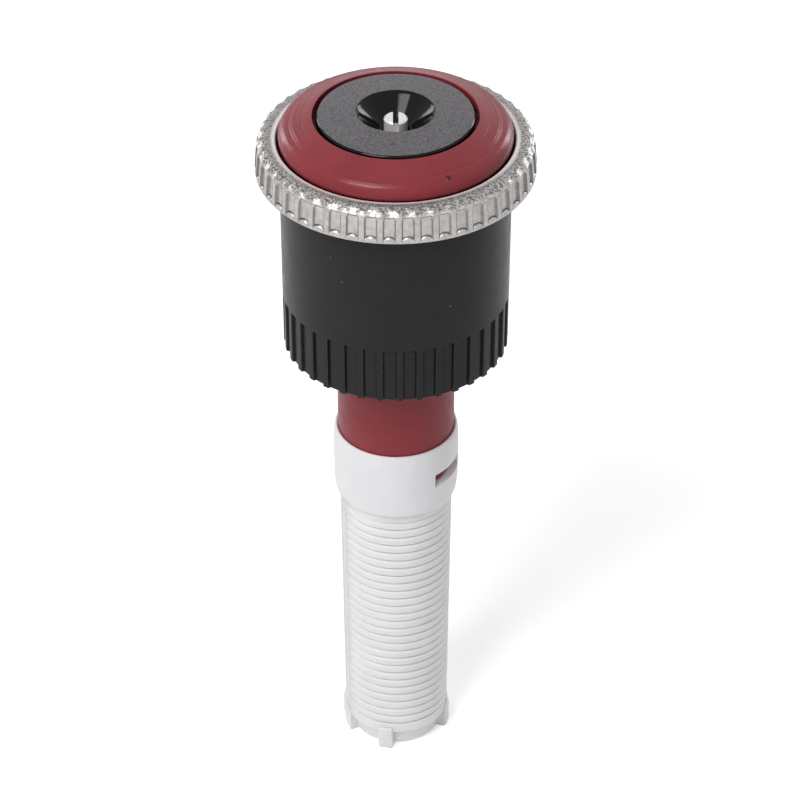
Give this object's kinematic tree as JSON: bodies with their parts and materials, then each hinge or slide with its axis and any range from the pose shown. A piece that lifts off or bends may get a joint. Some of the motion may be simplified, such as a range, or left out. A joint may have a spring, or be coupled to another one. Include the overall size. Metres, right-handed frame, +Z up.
{
  "type": "rotary spray nozzle",
  "caption": "Rotating multi-stream spray nozzle with female riser thread, fluted steel arc-adjusting ring, pop-up rotor and clip-in filter.",
  "frame": {"origin": "centre of the filter's feet, in the plane they stand on", "axes": "+Z up the riser axis to the rotor; -Y is the side that is seen first, +X to its right"},
  "size_m": [0.0262, 0.026, 0.0728],
  "materials": {
    "filter_plastic": "satin moulded",
    "maroon_stem": "moulded, lightly glossy",
    "grey_acetal": "moulded",
    "white_acetal": "moulded",
    "seat_rubber": "matte",
    "seal_rubber": "matte",
    "spring_steel": "bright drawn",
    "body_black": "satin moulded",
    "carrier_black": "moulded",
    "ring_steel": "pressed stainless, satin",
    "rotor_maroon": "moulded, lightly glossy",
    "cap_black": "spark-eroded top, glossy recess",
    "shaft_steel": "turned stainless"
  },
  "bodies": {
    "base": {"filter_basket": "filter_plastic", "flow_stem": "maroon_stem", "stem_spider": "grey_acetal", "throttle_guide": "grey_acetal", "throttle_seat": "seat_rubber", "nozzle_body": "body_black", "carrier_snap_ring": "spring_steel"},
    "arc_adjuster": {"arc_carrier": "carrier_black", "arc_nozzle": "white_acetal", "carrier_o_ring": "seal_rubber", "arc_ring_sleeve": "ring_steel"},
    "radius_drive": {"drive_sleeve": "white_acetal", "sleeve_clip": "spring_steel", "throttle_disc": "white_acetal"},
    "lift_shaft": {"shaft": "shaft_steel", "damper_stator": "grey_acetal", "spring_retainer": "grey_acetal", "retainer_clip": "spring_steel", "return_spring": "spring_steel"},
    "rotor": {"stream_plate": "rotor_maroon", "rotor_cap": "cap_black", "upper_bearing": "white_acetal", "upper_seal": "seal_rubber", "lower_bearing": "white_acetal", "lower_seal": "seal_rubber", "cap_o_ring": "seal_rubber"}
  },
  "joints": [
    {"name": "arc_turn", "type": "hinge", "parent": "base", "child": "arc_adjuster", "pos_m": [0, 0, 0.068], "axis": [0, 0, 1], "range_deg": [0, 120]},
    {"name": "radius_turn", "type": "hinge", "parent": "base", "child": "radius_drive", "pos_m": [0, 0, 0.041], "axis": [0, 0, -1], "range_deg": [0, 60]},
    {"name": "pop_up", "type": "slide", "parent": "radius_drive", "child": "lift_shaft", "axis": [0, 0, 1], "range_m": [0, 0.0055], "stiffness_N_per_m": 100, "springref_m": -0.002, "deforming": ["return_spring"]},
    {"name": "rotor_spin", "type": "hinge", "parent": "lift_shaft", "child": "rotor", "pos_m": [0, 0, 0.0705], "axis": [0, 0, 1], "continuous": true}
  ]
}
